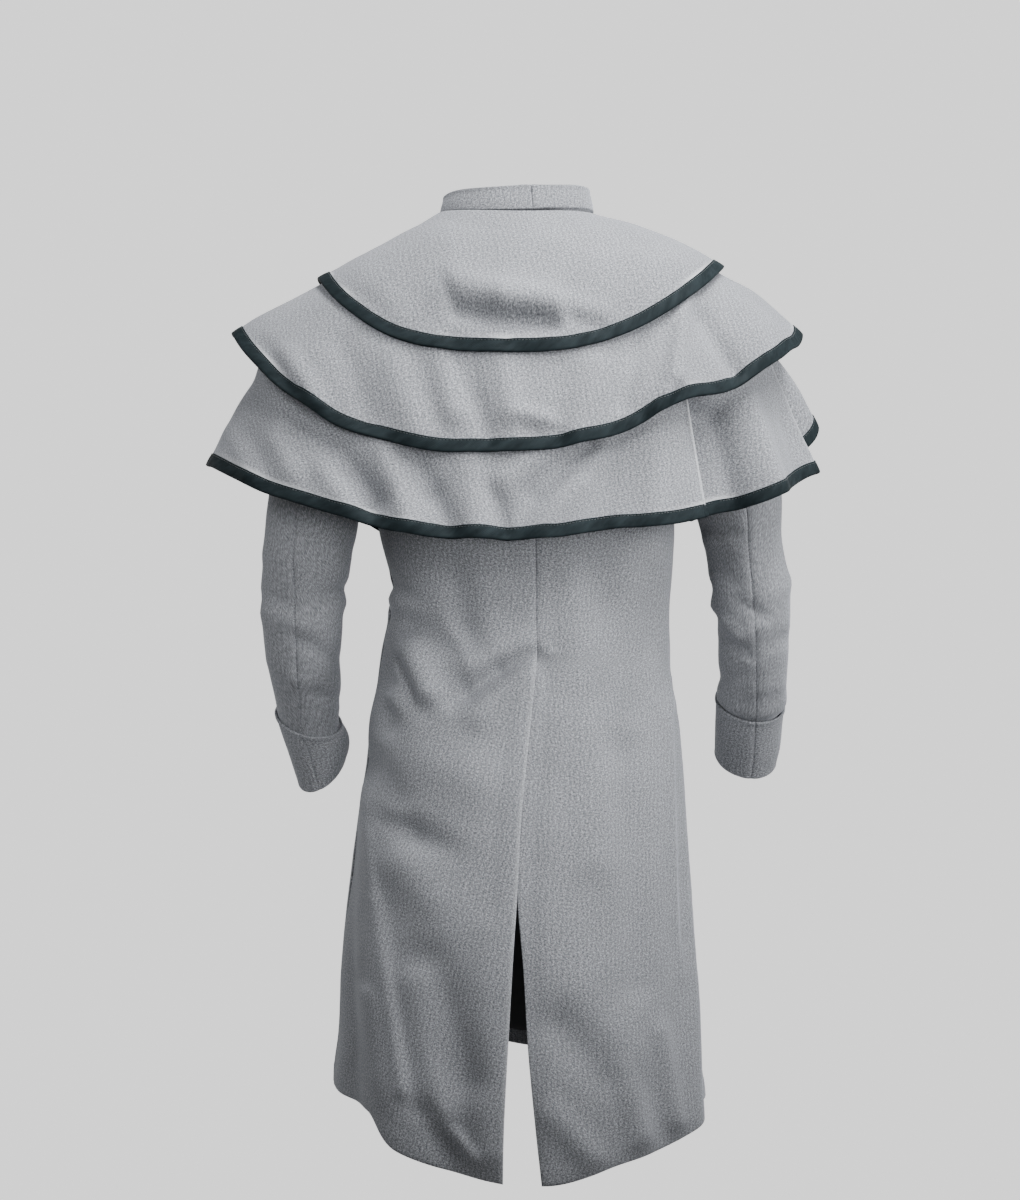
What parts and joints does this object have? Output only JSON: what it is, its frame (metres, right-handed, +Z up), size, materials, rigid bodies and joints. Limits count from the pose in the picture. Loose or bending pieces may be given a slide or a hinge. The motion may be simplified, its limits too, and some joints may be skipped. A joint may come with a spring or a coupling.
{
  "type": "caped duster coat in its worn shape",
  "caption": "Long hollow duster coat with a stand collar, a tiered shoulder cape bound at its hems, turned-back cuffs and an open back vent, in its worn shape.",
  "frame": {"origin": "middle of the neck ring, 13 mm above the neck seam at the sides, where the wearer's neck and shoulders hold the coat up", "axes": "+Z up, out of the neck; -Y to the coat's front; +X to the wearer's left"},
  "size_m": [0.756, 0.3919, 1.1501],
  "materials": {
    "wool": "heathered mid-grey fine wool twill, dry and slightly fuzzy",
    "binding": "green-black cotton twill bias binding",
    "lining": "black satin-weave lining",
    "button": "dark horn-like resin, soft polish"
  },
  "bodies": {
    "root": {"back_left": "wool", "back_right": "wool", "front_left": "wool", "front_right": "wool", "sleeve_top_left": "wool", "sleeve_under_left": "wool", "sleeve_top_right": "wool", "sleeve_under_right": "wool", "cuff_left": "wool", "cuff_right": "wool", "collar": "wool", "cape_upper": "wool", "cape_middle": "wool", "cape_lower": "wool", "binding_upper": "binding", "binding_middle": "binding", "binding_lower": "binding", "lining_front_left": "lining", "lining_front_right": "lining", "button_1": "button", "button_2": "button", "button_3": "button", "button_4": "button", "button_5": "button"}
  },
  "joints": []
}
